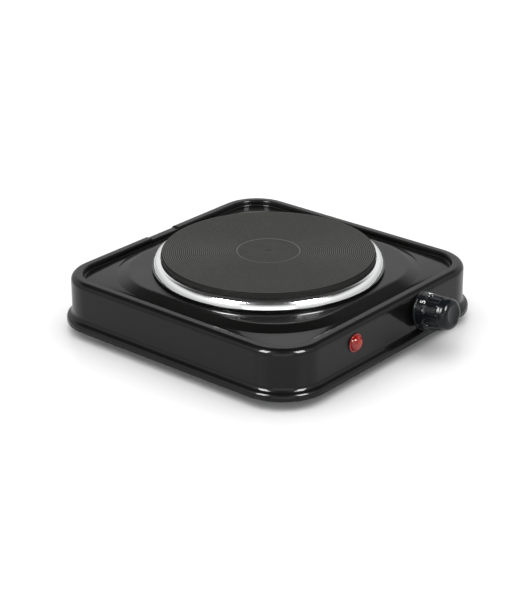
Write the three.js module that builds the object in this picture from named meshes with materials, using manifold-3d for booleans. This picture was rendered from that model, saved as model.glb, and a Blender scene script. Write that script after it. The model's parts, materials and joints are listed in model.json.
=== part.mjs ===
// Single-plate electric hot plate: enamelled steel casing, cast-iron plate, tilted thermostat knob.
// Millimetres, +Z up. While it is built, the plate's axis is x = y = 0 and the table is z = 0.
import * as THREE from 'three';
import { mergeVertices } from 'three/addons/utils/BufferGeometryUtils.js';
import Module from 'manifold-3d';

const wasm = await Module();
wasm.setup();

// ---- driving dimensions ---------------------------------------------------------------------
const FIT = 0.3;              // gap between pieces that touch
const SHEET = 0.8;            // enamelled steel of the casing
const BODY_HALF = 110.2;      // half the width of the casing's walls
const BODY_CORNER = 32;       // outer corner radius of the walls
const FLANGE_OUT = 4.2;       // the foot flange stands this far out of the walls
const FOOT_RISE = 7;          // the flange's lower edge above the table
const RIM_TOP = FOOT_RISE + 35.5;
const RIM_ROUND = 3.5;        // radius of the rim's outer edge
const TRAY_TOP = RIM_TOP - 4.5;
const PLATFORM_TOP = TRAY_TOP + 3;
const PLATFORM_CORNER_AT = 35.2;  // the centres of the platform's corners, x, y = +-35.2
const COLLAR_TOP = RIM_TOP - 0.5;
const COLLAR_RADIUS = 77.6;
const LIP_RADIUS = 73.6;      // hole in the casing that the heating plate hangs in
const NOTCH_HALF_ANGLE = 8.05;   // degrees seen from the plate's axis, in the rear rim
const NOTCH_DROP = 1.2;

const PLATE_RADIUS = 77.5;    // 155 mm cast-iron plate
const PLATE_TOP = 55;
const PLATE_SHOULDER = COLLAR_TOP + 1.5;
const PLATE_BOTTOM = 40;
const COIL_RADII = [31.5, 57.5];
const COIL_WIRE = 2.6;
const COIL_CHANNEL_HALF = 4.6;
const STUD_RADIUS = 3;

const BASE_BOTTOM = 10;
const BASE_THICK = 1;
const BASE_TOP = BASE_BOTTOM + BASE_THICK;
const BASE_HALF = 108.5;
const FOOT_AT = 83;           // feet at x, y = +-83
const SCREW_HOLE = 2.3;       // hole radius for the feet's and the earth screw
const EARTH_AT = [76, 48];

const KNOB_X = 35.4;
const KNOB_Z = FOOT_RISE + 20.4;
const KNOB_TILT = THREE.MathUtils.degToRad(8.5);    // the spindle rises towards the user
const KNOB_TURN = THREE.MathUtils.degToRad(5);      // grips turned this far clockwise at rest
const KNOB_GRIPS = 8;
const KNOB_BACK = 2.5;        // distances along the spindle, outwards from the wall
const KNOB_FRONT = 28.4;
const SPINDLE_RADIUS = 3;
const SPINDLE_OUT = 18.6;
const SPINDLE_IN = -16.6;

const LAMP_X = -40.2;
const LAMP_Z = FOOT_RISE + 22.3;
const GLAND_X = 0;
const GLAND_Z = 24;

const BLOCK_X = 50;           // mains terminal block
const BLOCK_Y = 84;
const BLOCK_Z = 18;
const BLOCK_PITCH = 9;
const BLOCK_POLES = 4;

// ---- materials ------------------------------------------------------------------------------
function paint(color, roughness, metalness) {
  return new THREE.MeshStandardMaterial({ color, roughness, metalness });
}

const ENAMEL = paint(0x171817, 0.12, 0.1);
const CAST_IRON = paint(0x4c4d4a, 0.55, 0.6);
const CHROME = paint(0xd8d9da, 0.08, 1);
const BLACK_PLASTIC = paint(0x15181a, 0.25, 0);
const RED_LENS = paint(0x8c1f16, 0.1, 0);
const ZINC_STEEL = paint(0xa9abac, 0.4, 0.9);
const SPRING_STEEL = paint(0x8c8f91, 0.3, 1);
const BRASS = paint(0xb08d4a, 0.3, 1);
const STEATITE = paint(0xe4dfd2, 0.7, 0);
const MINERAL_BOARD = paint(0xb9b29f, 0.95, 0);
const NICHROME = paint(0x55504a, 0.5, 0.8);
const RUBBER = paint(0x1b1b1b, 0.9, 0);
const NYLON = paint(0xe9e7e0, 0.5, 0);
const GLASS = paint(0xf2c9a8, 0.05, 0);
const BROWN_SLEEVE = paint(0x5b3a25, 0.6, 0);
const BLUE_SLEEVE = paint(0x28518c, 0.6, 0);
const GREEN_SLEEVE = paint(0x5c8a2e, 0.6, 0);
const WHITE_SLEEVE = paint(0xdcd8cc, 0.8, 0);

// ---- the scene graph ------------------------------------------------------------------------
const model = new THREE.Group();
const product = new THREE.Group();
model.add(product);
const control = new THREE.Group();      // local +Y runs inwards along the spindle, from the wall
control.position.set(KNOB_X, -BODY_HALF, KNOB_Z);
control.rotation.x = -KNOB_TILT;
product.add(control);

function add(name, geometry, material, parent = product) {
  const mesh = new THREE.Mesh(geometry, material);
  mesh.name = name;
  parent.add(mesh);
  return mesh;
}

// ---- geometry helpers -----------------------------------------------------------------------
function welded(geometry) {
  const bare = geometry.clone();
  bare.deleteAttribute('normal');
  bare.deleteAttribute('uv');
  return mergeVertices(bare, 1e-5);
}

function signedVolume(geometry) {
  const p = geometry.attributes.position;
  const index = geometry.index;
  const a = new THREE.Vector3();
  const b = new THREE.Vector3();
  const c = new THREE.Vector3();
  let six = 0;
  for (let i = 0; i < index.count; i += 3) {
    a.fromBufferAttribute(p, index.getX(i));
    b.fromBufferAttribute(p, index.getX(i + 1));
    c.fromBufferAttribute(p, index.getX(i + 2));
    six += a.dot(b.cross(c));
  }
  return six / 6;
}

function outward(geometry) {
  const solid = welded(geometry);
  const index = solid.index;
  if (signedVolume(solid) < 0) {
    for (let i = 0; i < index.count; i += 3) {
      const second = index.getX(i + 1);
      index.setX(i + 1, index.getX(i + 2));
      index.setX(i + 2, second);
    }
  }
  solid.computeVertexNormals();
  return solid;
}

function solidOf(geometry) {
  const closed = outward(geometry);
  const vertProperties = Float32Array.from(closed.attributes.position.array);
  const triVerts = Uint32Array.from(closed.index.array);
  return new wasm.Manifold(new wasm.Mesh({ numProp: 3, vertProperties, triVerts }));
}

function geometryOf(solid) {
  const mesh = solid.getMesh();
  const geometry = new THREE.BufferGeometry();
  geometry.setAttribute('position', new THREE.BufferAttribute(mesh.vertProperties, 3));
  geometry.setIndex(new THREE.BufferAttribute(mesh.triVerts, 1));
  geometry.computeVertexNormals();
  return geometry;
}

function cut(geometry, ...tools) {
  return geometryOf(tools.reduce((solid, tool) => solid.subtract(solidOf(tool)), solidOf(geometry)));
}

// A solid of revolution about Z from [radius, height] pairs.
function turned(profile, segments) {
  const points = profile.map(([radius, height]) => new THREE.Vector2(radius, height));
  return outward(new THREE.LatheGeometry(points, segments).rotateX(Math.PI / 2));
}

// The same, with the heights measured along -Y, out of the front wall.
function turnedOutOfFront(profile, segments) {
  return turned(profile, segments).rotateX(Math.PI / 2);
}

// A ring of revolution: the profile closes on itself.
function turnedRing(profile, segments) {
  return turned([...profile, profile[0]], segments);
}

function ringProfile(inner, outer, low, high) {
  return [[inner, low], [outer, low], [outer, high], [inner, high]];
}

function rod(radius, length, sides = 16) {
  return new THREE.CylinderGeometry(radius, radius, length, sides).rotateX(Math.PI / 2);
}

function plateShape(half, corner) {
  const shape = new THREE.Shape();
  const c = half - corner;
  [[c, c], [-c, c], [-c, -c], [c, -c]].forEach(([x, y], quarter) => {
    const start = quarter * Math.PI / 2;
    shape.absarc(x, y, corner, start, start + Math.PI / 2, false);
  });
  return shape;
}

function circleHole(x, y, radius) {
  const hole = new THREE.Path();
  hole.absarc(x, y, radius, 0, 2 * Math.PI, true);
  return hole;
}

function polygon(points) {
  return new THREE.Shape(points.map(([x, y]) => new THREE.Vector2(x, y)));
}

function extruded(shape, depth, curveSegments = 8) {
  return outward(new THREE.ExtrudeGeometry(shape, { depth, bevelEnabled: false, curveSegments }));
}

// A side outline of [y, z] pairs, drawn out along X between two places.
function drawnAlongX(outline, from, to) {
  const turn = new THREE.Matrix4().makeBasis(
    new THREE.Vector3(0, 1, 0), new THREE.Vector3(0, 0, 1), new THREE.Vector3(1, 0, 0),
  );
  return extruded(polygon(outline), to - from).applyMatrix4(turn).translate(from, 0, 0);
}

function hexNut(acrossFlats, bore, thick) {
  const corner = acrossFlats / Math.sqrt(3);
  const corners = Array.from({ length: 6 }, (_, i) => {
    const angle = i * Math.PI / 3;
    return [corner * Math.cos(angle), corner * Math.sin(angle)];
  });
  const shape = polygon(corners);
  shape.holes.push(circleHole(0, 0, bore));
  return extruded(shape, thick, 8);
}

function box(x0, x1, y0, y1, z0, z1) {
  return new THREE.BoxGeometry(x1 - x0, y1 - y0, z1 - z0)
    .translate((x0 + x1) / 2, (y0 + y1) / 2, (z0 + z1) / 2);
}

function tube(points, radius, steps, sides = 8) {
  const path = new THREE.CatmullRomCurve3(points.map((p) => new THREE.Vector3(...p)), false, 'centripetal');
  const section = polygon(Array.from({ length: sides }, (_, i) => {
    const angle = 2 * Math.PI * i / sides;
    return [radius * Math.cos(angle), radius * Math.sin(angle)];
  }));
  return outward(new THREE.ExtrudeGeometry(section, { steps, extrudePath: path, bevelEnabled: false }));
}

// ---- casing ---------------------------------------------------------------------------------
// Rings of the casing's outer skin, from the flange's lower edge, over the rim, to the plate hole.
function casingRings() {
  const wall = (inset, rise) => (
    { half: BODY_HALF - inset, corner: BODY_CORNER - inset, z: FOOT_RISE + rise }
  );
  const platform = (half, z) => ({ half, corner: half - PLATFORM_CORNER_AT, z });
  const round = (radius, z) => ({ half: radius, corner: radius, z });
  const rimStart = RIM_TOP - RIM_ROUND - FOOT_RISE;
  const rimArc = [0, 45, 90].map((degrees) => {
    const angle = THREE.MathUtils.degToRad(degrees);
    return wall(RIM_ROUND * (1 - Math.cos(angle)), rimStart + RIM_ROUND * Math.sin(angle));
  });
  const rimRise = RIM_TOP - FOOT_RISE;
  const trayRise = TRAY_TOP - FOOT_RISE;
  return [
    wall(-FLANGE_OUT, 0), wall(-FLANGE_OUT, 2.6), wall(-3.2, 4.4), wall(-0.8, 5.8), wall(0, 8.2),
    ...rimArc,
    wall(7.6, rimRise), wall(8.8, rimRise - 1), wall(9.2, trayRise + 1), wall(10.4, trayRise),
    platform(91.6, TRAY_TOP), platform(87.2, PLATFORM_TOP),
    round(COLLAR_RADIUS + 2, PLATFORM_TOP), round(COLLAR_RADIUS, COLLAR_TOP),
    round(LIP_RADIUS, COLLAR_TOP),
  ];
}

// The same rings moved one sheet thickness into the metal.
function insideOf(rings) {
  return rings.map((ring, i) => {
    const before = rings[Math.max(i - 1, 0)];
    const after = rings[Math.min(i + 1, rings.length - 1)];
    const along = new THREE.Vector2(after.half - before.half, after.z - before.z).normalize();
    const shift = SHEET * along.y;
    return { half: ring.half - shift, corner: ring.corner - shift, z: ring.z + SHEET * along.x };
  });
}

// Distance from the axis to a rounded square's outline, in the direction given.
function outlineRadius(half, corner, angle) {
  const x = Math.abs(Math.cos(angle));
  const y = Math.abs(Math.sin(angle));
  const centre = half - corner;
  const flat = half / Math.max(x, y);
  if (Math.min(x, y) * flat <= centre) {
    return flat;
  }
  const middle = centre * (x + y);
  return middle + Math.sqrt(middle * middle - 2 * centre * centre + corner * corner);
}

// Directions that the rings have points in, closer together round the corners and at the notch.
function ringAngles() {
  const angles = [];
  for (let quarter = 0; quarter < 4; quarter += 1) {
    const sideSteps = quarter === 1 ? [-8.5, -7.6, 0, 7.6, 8.5] : [0];
    const cornerSteps = [18, 31, 36, 40.5, 45, 49.5, 54, 59, 72];
    [...sideSteps, ...cornerSteps].forEach((degrees) => angles.push(quarter * 90 + degrees));
  }
  return angles.sort((a, b) => a - b).map((degrees) => THREE.MathUtils.degToRad(degrees));
}

// A closed shell through the rings; the last ring joins the first.
function ringShell(rings, heightAt) {
  const angles = ringAngles();
  const positions = [];
  const indices = [];
  rings.forEach(({ half, corner, z }) => angles.forEach((angle) => {
    const radius = outlineRadius(half, corner, angle);
    positions.push(radius * Math.cos(angle), radius * Math.sin(angle), heightAt(z, angle));
  }));
  rings.forEach((_, i) => angles.forEach((__, j) => {
    const nextRing = (i + 1) % rings.length;
    const nextPoint = (j + 1) % angles.length;
    const a = i * angles.length + j;
    const b = i * angles.length + nextPoint;
    const c = nextRing * angles.length + nextPoint;
    const d = nextRing * angles.length + j;
    indices.push(a, b, c, a, c, d);
  }));
  const geometry = new THREE.BufferGeometry();
  geometry.setAttribute('position', new THREE.Float32BufferAttribute(positions, 3));
  geometry.setIndex(indices);
  return outward(geometry);
}

function notchedHeight(z, angle) {
  const offset = Math.abs(THREE.MathUtils.radToDeg(angle) - 90);
  const low = RIM_TOP - RIM_ROUND;
  if (offset > NOTCH_HALF_ANGLE || z < low) {
    return z;
  }
  return z - NOTCH_DROP * (z - low) / RIM_ROUND;
}

function topCasing() {
  const skin = casingRings();
  const shell = ringShell([...skin, ...insideOf(skin).reverse()], notchedHeight);
  const wallHole = (radius, x, z, y) => rod(radius, 12, 24).rotateX(Math.PI / 2).translate(x, y, z);
  const spindleHole = wallHole(6, KNOB_X, KNOB_Z, -BODY_HALF);
  const lampHole = wallHole(5.3, LAMP_X, LAMP_Z, -BODY_HALF);
  const glandHole = wallHole(6, GLAND_X, GLAND_Z, BODY_HALF);
  return cut(shell, spindleHole, lampHole, glandHole);
}

function ventSlot(angle, radius, length, width) {
  const slot = new THREE.Path();
  const reach = (length - width) / 2;
  const toX = (along, across) => (radius + along) * Math.cos(angle) - across * Math.sin(angle);
  const toY = (along, across) => (radius + along) * Math.sin(angle) + across * Math.cos(angle);
  slot.absarc(toX(reach, 0), toY(reach, 0), width / 2, angle - Math.PI / 2, angle + Math.PI / 2, false);
  slot.absarc(toX(-reach, 0), toY(-reach, 0), width / 2, angle + Math.PI / 2, angle + 1.5 * Math.PI, false);
  slot.closePath();
  return slot;
}

const footPlaces = [[-1, -1], [1, -1], [1, 1], [-1, 1]].map(([x, y]) => [x * FOOT_AT, y * FOOT_AT]);
const VENT_SLOTS = 12;

function basePlate() {
  const shape = plateShape(BASE_HALF, BODY_CORNER - (BODY_HALF - BASE_HALF));
  [...footPlaces, EARTH_AT].forEach(([x, y]) => shape.holes.push(circleHole(x, y, SCREW_HOLE)));
  for (let i = 0; i < VENT_SLOTS; i += 1) {
    shape.holes.push(ventSlot((i + 0.5) * 2 * Math.PI / VENT_SLOTS, 44, 26, 5));
  }
  return extruded(shape, BASE_THICK, 4).translate(0, 0, BASE_BOTTOM);
}

// A folded strip that joins the tray to the base plate and takes the foot's screw.
function cornerBracket() {
  const low = BASE_TOP + FIT;
  const high = TRAY_TOP - SHEET - FIT;
  const thick = 1.5;
  const outline = [
    [-6, low], [7, low], [7, high], [-6, high], [-6, high - thick], [7 - thick, high - thick],
    [7 - thick, low + thick], [-6, low + thick],
  ];
  return cut(drawnAlongX(outline, -6, 6), rod(SCREW_HOLE, 8).translate(0, 0, low));
}

const footProfile = [
  [2.4, 3.6], [4.2, 3.6], [4.2, 0.4], [4.6, 0], [8.2, 0], [9, 0.8], [9.6, BASE_BOTTOM - FIT],
  [2.4, BASE_BOTTOM - FIT],
];

const footScrewProfile = [
  [0, 1.4], [2.6, 1.4], [3.5, 2], [3.5, 3.3], [2, 3.3], [2, 16], [0, 16],
];

function addCasing() {
  add('top_casing', topCasing(), ENAMEL);
  add('base_plate', basePlate(), ZINC_STEEL);
  footPlaces.forEach(([x, y], i) => {
    const facing = y < 0 ? 0 : Math.PI;
    const bracket = add(`corner_bracket_${i + 1}`, cornerBracket(), ZINC_STEEL);
    bracket.position.set(x, y, 0);
    bracket.rotation.z = facing;
    add(`foot_${i + 1}`, turnedRing(footProfile, 16), RUBBER).position.set(x, y, 0);
    add(`foot_screw_${i + 1}`, turned(footScrewProfile, 12), ZINC_STEEL).position.set(x, y, 0);
  });
}

// ---- burner ---------------------------------------------------------------------------------
const plateTopProfile = [
  [0, PLATE_TOP - 1], [1.4, PLATE_TOP - 0.9], [2.8, PLATE_TOP - 0.45], [22.3, PLATE_TOP - 0.4],
  [22.8, PLATE_TOP], [76.2, PLATE_TOP], [PLATE_RADIUS, PLATE_TOP - 1.1],
];

function heatingPlate() {
  const channelTop = PLATE_BOTTOM + 7.5;
  const channels = [...COIL_RADII].reverse().flatMap((radius) => {
    const outer = radius + COIL_CHANNEL_HALF;
    const inner = radius - COIL_CHANNEL_HALF;
    return [[outer, PLATE_BOTTOM], [outer, channelTop], [inner, channelTop], [inner, PLATE_BOTTOM]];
  });
  return turned([
    ...plateTopProfile,
    [PLATE_RADIUS, PLATE_SHOULDER], [71.8, PLATE_SHOULDER], [71.8, PLATE_BOTTOM],
    ...channels,
    [9, PLATE_BOTTOM], [9, PLATE_BOTTOM - 2], [STUD_RADIUS + FIT, PLATE_BOTTOM - 2],
    [STUD_RADIUS + FIT, PLATE_TOP - 6], [0, PLATE_TOP - 6],
  ], 44);
}

// Chromed spill ring: an inner flange held under the plate and a domed skirt over the collar.
function trimRing() {
  const flangeLow = COLLAR_TOP + 0.4;
  return turnedRing([
    [74.4, flangeLow], [78.9, flangeLow], [78.9, 49.3], [81, 48.5], [82.8, 46.3], [83.5, 42.7],
    [84.2, 42.7], [84.2, 43.8], [83.4, 46.9], [81.3, 49.3], [78.2, 50.2],
    [78.2, flangeLow + 0.7], [74.4, flangeLow + 0.7],
  ], 44);
}

function heatingCoil(radius) {
  const turns = Array.from({ length: 25 }, (_, i) => {
    const angle = THREE.MathUtils.degToRad(98 + i * 344 / 24);
    return [radius * Math.cos(angle), radius * Math.sin(angle), PLATE_BOTTOM + 3.8];
  });
  return tube(turns, COIL_WIRE, 32, 6);
}

function boredDisc(outer, inner, low, thick) {
  const shape = new THREE.Shape();
  shape.absarc(0, 0, outer, 0, 2 * Math.PI, false);
  shape.holes.push(circleHole(0, 0, inner));
  COIL_RADII.forEach((radius) => shape.holes.push(circleHole(0, radius, 2.4)));
  return extruded(shape, thick, 12).translate(0, 0, low);
}

function heaterTerminalBlock() {
  const [inner, outer] = COIL_RADII;
  const pinHoles = COIL_RADII.map((radius) => rod(1.7, 20).translate(0, radius, 32));
  return cut(box(-6, 6, inner - 6, outer + 6, 28, 36.6), ...pinHoles);
}

function clampBridge() {
  const seat = PLATFORM_TOP - SHEET - FIT;
  const half = [[86, seat], [86, seat - 2], [80, seat - 2], [74, 26.5]];
  const under = [[-74, 26.5], [-80, seat - 2], [-86, seat - 2], [-86, seat], [-78.4, seat], [-72.6, 28.5]];
  const over = [[72.6, 28.5], [78.4, seat]];
  const bar = extruded(polygon([...half, ...under, ...over]), 22)
    .rotateX(Math.PI / 2)
    .translate(0, 11, 0);
  return cut(bar, rod(STUD_RADIUS + FIT, 12).translate(0, 0, 28));
}

function addBurner() {
  add('heating_plate', heatingPlate(), CAST_IRON);
  add('trim_ring', trimRing(), CHROME);
  COIL_RADII.forEach((radius, i) => add(`heating_coil_${i + 1}`, heatingCoil(radius), NICHROME));
  add('insulation_disc', boredDisc(69, 10, PLATE_BOTTOM - 1.4, 1.1), MINERAL_BOARD);
  add('reflector_dish', boredDisc(70, 9.4, PLATE_BOTTOM - 2.6, 0.9), ZINC_STEEL);
  add('heater_terminal_block', heaterTerminalBlock(), STEATITE);
  COIL_RADII.forEach((radius, i) => {
    add(`heater_pin_${i + 1}`, rod(1.3, 15.6, 12), NICHROME).position.set(0, radius, 31.9);
  });
  add('clamp_bridge', clampBridge(), ZINC_STEEL);
  add('centre_stud', rod(STUD_RADIUS, 30, 16), ZINC_STEEL).position.z = 33.6;
  add('stud_washer', turnedRing(ringProfile(STUD_RADIUS + FIT, 6.4, 24.8, 26.2), 20), SPRING_STEEL);
  add('stud_nut', hexNut(10, STUD_RADIUS + FIT, 5), ZINC_STEEL).position.z = 19.5;
}

// ---- thermostat, in the control group: +Y runs inwards from the wall --------------------------
const BUSH_RADIUS = 5;
const BUSH_BORE = SPINDLE_RADIUS + 0.35;
const BRACKET_FROM = 8;
const BRACKET_THICK = 1.5;
const BRACKET_BACK = BRACKET_FROM + BRACKET_THICK;
const RIVET_X = -19;
const RIVET_HOLE = 2.1;

// A point at an inward distance and a height from the spindle, in the casing's [y, z].
function besideSpindle(inward, up) {
  const c = Math.cos(KNOB_TILT);
  const s = Math.sin(KNOB_TILT);
  return [-BODY_HALF + inward * c + up * s, KNOB_Z - inward * s + up * c];
}

function thermostatBracket() {
  const high = TRAY_TOP - SHEET - FIT;
  const low = high - BRACKET_THICK;
  const upTo = (inward, z) => (z - KNOB_Z + inward * Math.sin(KNOB_TILT)) / Math.cos(KNOB_TILT);
  const outline = [
    besideSpindle(BRACKET_FROM, -11), besideSpindle(BRACKET_BACK, -11),
    besideSpindle(BRACKET_BACK, upTo(BRACKET_BACK, low)),
    [-93.4, low], [-93.4, high], besideSpindle(BRACKET_FROM, upTo(BRACKET_FROM, high)),
  ];
  const alongSpindle = (radius, x) => {
    const tool = rod(radius, 10, 20).rotateX(Math.PI / 2).translate(x, BRACKET_FROM, 0);
    return tool.applyMatrix4(control.matrixWorld);
  };
  control.updateWorldMatrix(true, false);
  return cut(
    drawnAlongX(outline, KNOB_X - 26, KNOB_X + 13),
    alongSpindle(BUSH_RADIUS + FIT, 0),
    alongSpindle(RIVET_HOLE, RIVET_X),
  );
}

// Rings and rods of the thermostat lie along local Y, between two inward distances.
function collarAlong(inner, outer, from, to, segments = 20) {
  return turnedOutOfFront([...ringProfile(inner, outer, -to, -from), [inner, -to]], segments);
}

function blade(from, thick, tabEnd, tipEnd) {
  const outline = box(tabEnd, tipEnd, from, from + thick, -4, 4);
  return cut(outline, rod(RIVET_HOLE, 8).rotateX(Math.PI / 2).translate(RIVET_X, from, 0));
}

function stackRivet() {
  return turnedOutOfFront([[0, -6.2], [3.4, -6.2], [3.4, -7.7], [1.8, -7.7], [1.8, -27.6], [0, -27.6]], 14);
}

function addThermostat() {
  add('thermostat_bracket', thermostatBracket(), ZINC_STEEL);
  const bushProfile = [
    [BUSH_BORE, -4.6], [BUSH_RADIUS, -4.6], [BUSH_RADIUS, -BRACKET_BACK - FIT],
    [7, -BRACKET_BACK - FIT], [7, -12.6], [BUSH_BORE, -12.6], [BUSH_BORE, -4.6],
  ];
  add('thermostat_bush', turnedOutOfFront(bushProfile, 20), BRASS, control);
  const nut = hexNut(13, BUSH_RADIUS + FIT, 2.4).rotateX(Math.PI / 2);
  add('bush_nut', nut, BRASS, control).position.y = BRACKET_FROM - FIT;
  add('stack_rivet', stackRivet(), SPRING_STEEL, control).position.x = RIVET_X;
  const spacers = [[BRACKET_BACK + FIT, 16.9], [18.3, 21.6], [22.8, 25.2]];
  spacers.forEach(([from, to], i) => {
    const spacer = collarAlong(RIVET_HOLE, 5.2, from, to);
    add(`ceramic_spacer_${i + 1}`, spacer, STEATITE, control).position.x = RIVET_X;
  });
  add('bimetal_blade', blade(17.2, 0.8, -35, 7), BRASS, control);
  add('contact_blade', blade(21.9, 0.6, -31, 5), SPRING_STEEL, control);
  add('stack_cap', collarAlong(RIVET_HOLE, 4.6, 25.5, 26.7), SPRING_STEEL, control).position.x = RIVET_X;
  const contact = turnedOutOfFront([[0, -18.3], [2, -18.3], [2, -21.6], [0, -21.6]], 14);
  add('contact_rivet', contact, BRASS, control);
}

// ---- control knob and spindle -----------------------------------------------------------------
// Grip recesses: a rounded slot laid along the cone, cut to a shallow depth.
function gripTool() {
  const width = 6;
  const length = 14;
  const slot = new THREE.Shape();
  const reach = (length - width) / 2;
  slot.absarc(0, reach, width / 2, 0, Math.PI, false);
  slot.absarc(0, -reach, width / 2, Math.PI, 2 * Math.PI, false);
  const lean = THREE.MathUtils.degToRad(5.4);
  return extruded(slot, 6, 4).rotateX(lean).translate(0, -17.4, 11.6);
}

function controlKnob() {
  const body = turnedOutOfFront([
    [0, KNOB_FRONT], [6.9, KNOB_FRONT], [8.4, 27.8], [9.8, 26.6], [10.9, 24.9], [11.6, 22.9], [12, 20.8],
    [13.5, 4.9], [13.8, 4.4], [13.8, KNOB_BACK], [12.4, KNOB_BACK], [9.4, 22], [5.6, 22], [5.6, 3.6], [SPINDLE_RADIUS + FIT, 3.6],
    [SPINDLE_RADIUS + FIT, SPINDLE_OUT + 0.5], [0, SPINDLE_OUT + 0.5],
  ], 32);
  const grips = Array.from({ length: KNOB_GRIPS }, (_, i) => (
    gripTool().rotateY((i + 0.5) * 2 * Math.PI / KNOB_GRIPS + KNOB_TURN)
  ));
  return cut(body, ...grips);
}

function controlSpindle() {
  const shaft = turnedOutOfFront([
    [0, SPINDLE_OUT], [SPINDLE_RADIUS, SPINDLE_OUT], [SPINDLE_RADIUS, SPINDLE_IN], [0, SPINDLE_IN],
  ], 20);
  return cut(shaft, box(-4, 4, -SPINDLE_OUT - 1, -6, 1.8, 4));
}

function addControl() {
  add('control_knob', controlKnob(), BLACK_PLASTIC, control);
  add('control_spindle', controlSpindle(), ZINC_STEEL, control);
  add('knob_spring_clip', box(-1.2, 1.2, -16, -7, 2.15, 2.75), SPRING_STEEL, control);
}

// ---- indicator lamp ---------------------------------------------------------------------------
function addLamp() {
  const lamp = new THREE.Group();
  lamp.position.set(LAMP_X, -BODY_HALF, LAMP_Z);
  product.add(lamp);
  const lensProfile = [
    [0, 3.6], [2.4, 3.4], [4.6, 2.7], [6, 1.6], [6.3, 1], [7.4, 0.9], [7.4, FIT], [4.9, FIT], [4.9, -5],
    [3.7, -5], [3.7, 0.6], [2.4, 1.9], [0, 2.4],
  ];
  add('lamp_lens', turnedOutOfFront(lensProfile, 20), RED_LENS, lamp);
  const bodyProfile = [
    [3.4, -5.3], [6.2, -5.3], [6.2, -18], [0, -18], [0, -16.4], [3.4, -16.4], [3.4, -5.3],
  ];
  add('lamp_body', turnedOutOfFront(bodyProfile, 20), NYLON, lamp);
  add('lamp_clip', collarAlong(5.2, 7.6, SHEET + FIT, SHEET + FIT + 0.8), SPRING_STEEL, lamp);
  const bulbProfile = [[0, -0.4], [1.8, -1], [2.6, -2.8], [2.6, -13], [1.4, -15], [0, -15]];
  add('neon_bulb', turnedOutOfFront(bulbProfile, 12), GLASS, lamp);
}

// ---- mains side -------------------------------------------------------------------------------
function cordGland() {
  const profile = [
    [3.4, 7], [4.9, 7], [6.6, 3.6], [8.6, 3], [8.6, FIT], [5.7, FIT], [5.7, -SHEET - FIT],
    [7.2, -SHEET - FIT], [6.2, -5], [3.4, -5], [3.4, 7],
  ];
  return turnedOutOfFront(profile, 20).rotateZ(Math.PI).translate(GLAND_X, BODY_HALF, GLAND_Z);
}

const poleX = Array.from({ length: BLOCK_POLES }, (_, i) => (
  BLOCK_X + (i - (BLOCK_POLES - 1) / 2) * BLOCK_PITCH
));

function terminalBlock() {
  const halfWidth = BLOCK_POLES * BLOCK_PITCH / 2 + 1;
  const body = box(BLOCK_X - halfWidth, BLOCK_X + halfWidth, BLOCK_Y - 8, BLOCK_Y + 8, BASE_TOP + FIT, 25);
  const bores = poleX.map((x) => rod(2.2, 20, 10).rotateX(Math.PI / 2).translate(x, BLOCK_Y, BLOCK_Z));
  const screwWells = poleX.map((x) => rod(2.4, 8, 10).translate(x, BLOCK_Y, BLOCK_Z + 5.5));
  return cut(body, ...bores, ...screwWells);
}

function addMains() {
  add('cord_gland', cordGland(), RUBBER);
  add('terminal_block', terminalBlock(), STEATITE);
  poleX.forEach((x, i) => {
    add(`terminal_screw_${i + 1}`, rod(2, 5, 12), BRASS).position.set(x, BLOCK_Y, 22.8);
  });
  const [earthX, earthY] = EARTH_AT;
  const tag = extruded(plateShape(4, 2), 0.8, 4);
  add('earth_tag', cut(tag, rod(SCREW_HOLE, 6)), BRASS).position.set(earthX, earthY, BASE_TOP + FIT);
  const low = BASE_TOP + 0.8 + 2 * FIT;
  const top = low + 2.6;
  const screw = [[0, 8.6], [2, 8.6], [2, low], [3.8, low], [3.6, top - 0.6], [2.4, top], [0, top]];
  add('earth_screw', turned(screw, 14), ZINC_STEEL).position.set(earthX, earthY, 0);
}

// ---- wiring: each lead runs from face to face of the pieces it joins ---------------------------
function addWiring() {
  const wire = 1.1;
  const blockFace = BLOCK_Y - 8.4;
  const [live, neutral, lampNeutral, earth] = poleX;
  const [innerPin, outerPin] = COIL_RADII;
  const pinEnd = 23.6;
  const [earthX, earthY] = EARTH_AT;
  const leads = [
    ['live_wire', BROWN_SLEEVE, 26, [
      [live, blockFace, BLOCK_Z], [live, 68, 19.4], [38, 50, 18.6], [38, 24, 14.6], [32, -12, 14],
      [12, -60, 13], [-8, -80, 13], [-9.5, -91, 17], [-6.1, -93.4, 23.2], [-0.2, -92.7, 24.7],
    ]],
    ['switched_wire', WHITE_SLEEVE, 22, [
      [3.8, -88.3, 23.4], [-2.6, -86.5, 22.4], [-8, -72, 19], [-20, -30, 14.6], [-18, 6, 14.2], [-7, 26, 15],
      [-1, 31, 19], [0, innerPin, pinEnd],
    ]],
    ['neutral_wire', BLUE_SLEEVE, 14, [
      [neutral, blockFace, BLOCK_Z], [44, 69, 16.4], [26, 60, 14.4], [7, 56.5, 15], [1, outerPin, 19],
      [0, outerPin, pinEnd],
    ]],
    ['lamp_live_wire', BROWN_SLEEVE, 12, [
      [LAMP_X + 2.6, -91.7, LAMP_Z], [LAMP_X + 3, -88, 29], [-30, -83, 27], [-20, -80, 25],
      [-7, -84.4, 24.6], [-1.2, -88.1, 26.1], [3.8, -88, 25.9],
    ]],
    ['lamp_neutral_wire', BLUE_SLEEVE, 26, [
      [LAMP_X - 2.6, -91.7, LAMP_Z], [LAMP_X - 3, -88, 29], [-48, -80, 24], [-56, -50, 14.4], [-52, 10, 13],
      [-20, 74, 12.6], [24, 70, 12.4], [46, 63, 12.6], [54, 66, 15.4], [lampNeutral, blockFace, BLOCK_Z],
    ]],
    ['earth_wire', GREEN_SLEEVE, 10, [
      [earth, blockFace, BLOCK_Z], [65, 68, 16], [72, 60, 13.4], [earthX, earthY + 4.9, 12.6],
    ]],
  ];
  leads.forEach(([name, material, steps, route]) => add(name, tube(route, wire, steps, 6), material));
}

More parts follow.
